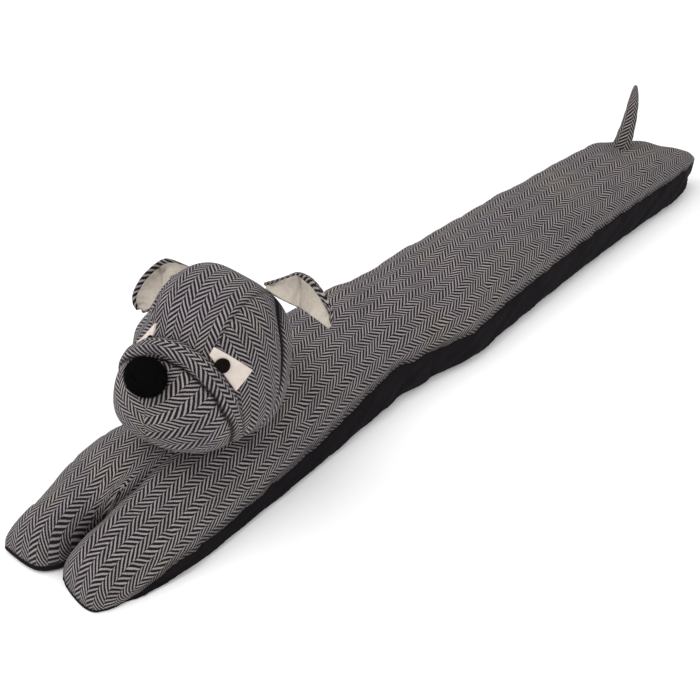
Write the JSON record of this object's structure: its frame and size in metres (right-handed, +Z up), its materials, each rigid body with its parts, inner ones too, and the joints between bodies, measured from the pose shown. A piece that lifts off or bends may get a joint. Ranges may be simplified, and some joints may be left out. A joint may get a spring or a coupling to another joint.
{
  "type": "draught excluder",
  "caption": "Stuffed dog-shaped draught excluder lying flat: herringbone cloth over a black base, paws forward, folded ears, upright tail.",
  "frame": {"origin": "middle of the object's own box, at the floor", "axes": "+X towards the dog's head and paws, +Y the dog's left, +Z up"},
  "size_m": [0.9402, 0.166, 0.2142],
  "materials": {
    "tweed": "black and cream herringbone wool cloth, matt",
    "black_cotton": "plain black cotton, matt",
    "cream_cotton": "plain cream cotton, matt",
    "cream_felt": "cream felt, matt",
    "black_felt": "black felt, matt",
    "black_plush": "black short-pile plush"
  },
  "bodies": {
    "root": {"body_top": "tweed", "head_face": "tweed", "head_back": "tweed", "muzzle": "tweed", "wrinkle_fold": "tweed", "ear_left": "tweed", "ear_right": "tweed", "tail": "tweed", "body_base": "black_cotton", "ear_lining_left": "cream_cotton", "ear_lining_right": "cream_cotton", "eye_patch_left": "cream_felt", "eye_patch_right": "cream_felt", "pupil_left": "black_felt", "pupil_right": "black_felt", "nose": "black_plush"}
  },
  "joints": []
}
